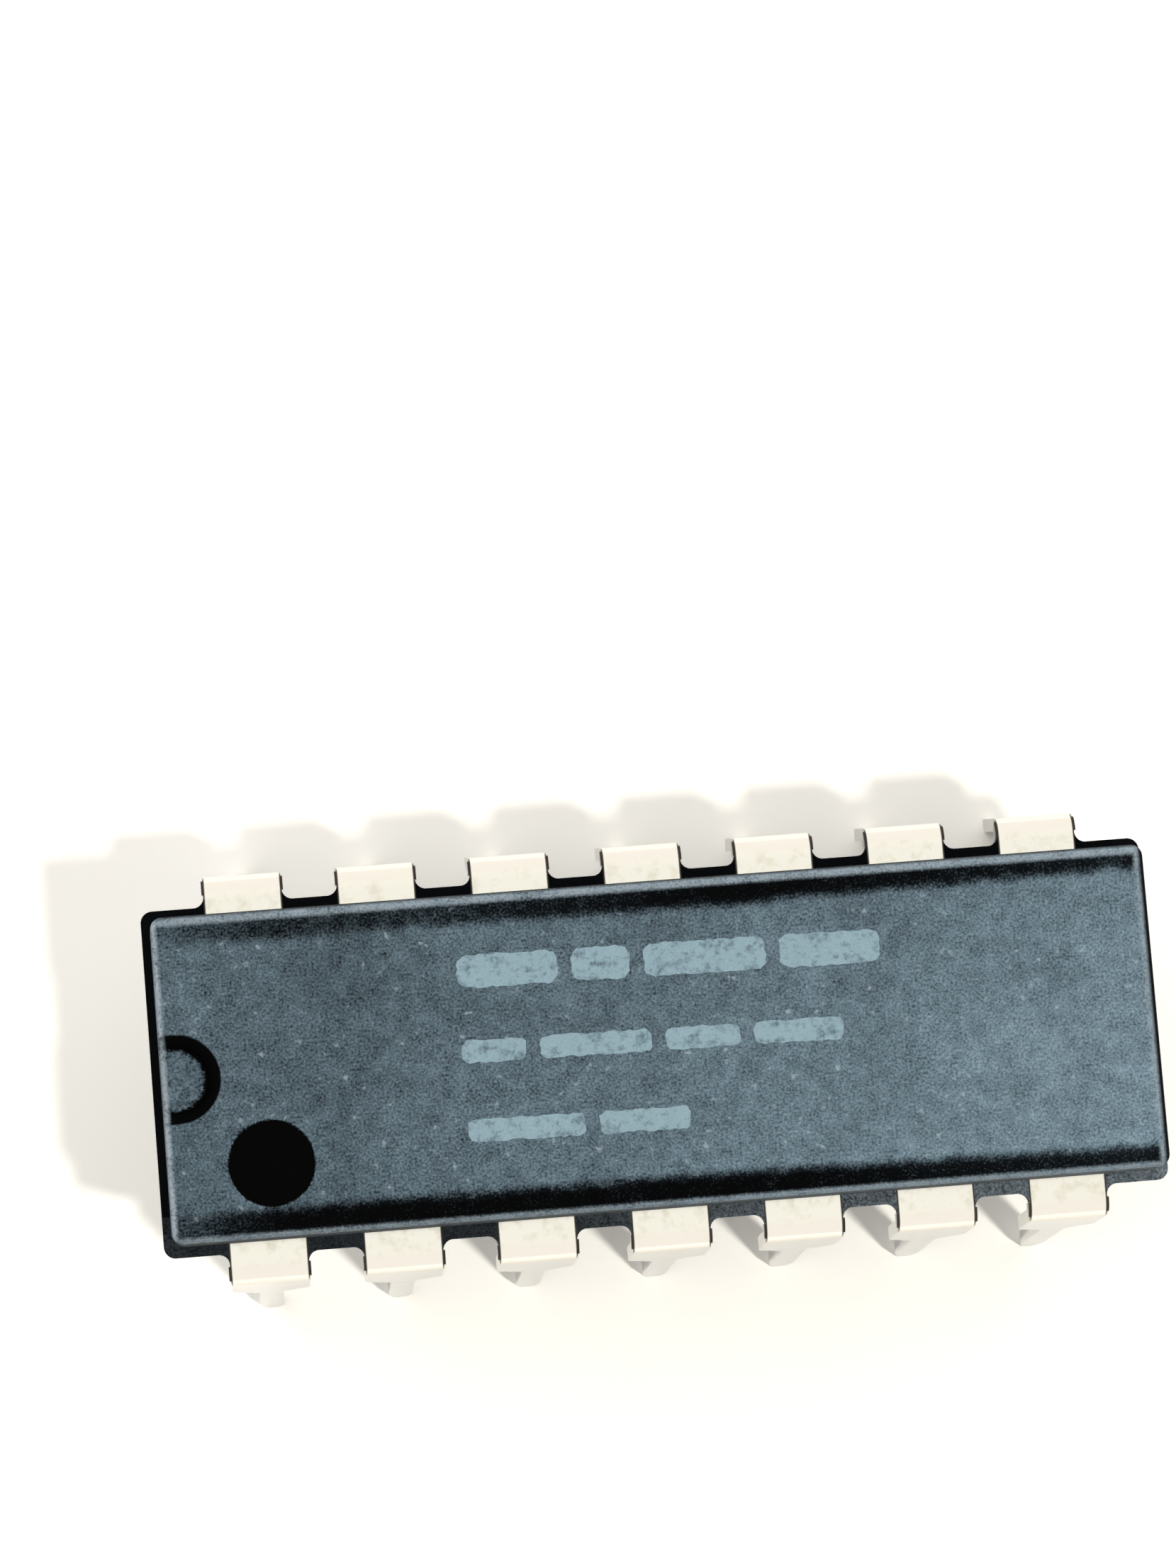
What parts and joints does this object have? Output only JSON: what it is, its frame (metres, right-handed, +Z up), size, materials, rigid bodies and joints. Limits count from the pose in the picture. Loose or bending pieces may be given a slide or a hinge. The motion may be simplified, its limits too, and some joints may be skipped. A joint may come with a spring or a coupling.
{
  "type": "dual in-line integrated circuit",
  "caption": "Moulded dual in-line integrated circuit with an end notch, a round pin 1 mark and two rows of splayed through-hole leads.",
  "frame": {"origin": "middle of the footprint, on the plane that the lead tips stand on", "axes": "+X along the package away from the notched end, +Y across it away from leads 1 to 7, +Z up out of the top face"},
  "size_m": [0.0192, 0.0086, 0.0071],
  "materials": {
    "moulded_epoxy": "fine matte moulded epoxy",
    "tinned_lead": "bright tin plating",
    "frame_metal": "bare copper alloy",
    "silver_adhesive": "matte silver-filled adhesive",
    "silicon": "polished silicon",
    "gold_wire": "drawn gold wire"
  },
  "bodies": {
    "root": {"body": "moulded_epoxy", "lead_1": "tinned_lead", "lead_2": "tinned_lead", "lead_3": "tinned_lead", "lead_4": "tinned_lead", "lead_5": "tinned_lead", "lead_6": "tinned_lead", "lead_7": "tinned_lead", "lead_8": "tinned_lead", "lead_9": "tinned_lead", "lead_10": "tinned_lead", "lead_11": "tinned_lead", "lead_12": "tinned_lead", "lead_13": "tinned_lead", "lead_14": "tinned_lead", "die_paddle": "frame_metal", "die_attach": "silver_adhesive", "die": "silicon", "bond_wire_1": "gold_wire", "bond_wire_2": "gold_wire", "bond_wire_3": "gold_wire", "bond_wire_4": "gold_wire", "bond_wire_5": "gold_wire", "bond_wire_6": "gold_wire", "bond_wire_7": "gold_wire", "bond_wire_8": "gold_wire", "bond_wire_9": "gold_wire", "bond_wire_10": "gold_wire", "bond_wire_11": "gold_wire", "bond_wire_12": "gold_wire", "bond_wire_13": "gold_wire", "bond_wire_14": "gold_wire"}
  },
  "joints": []
}
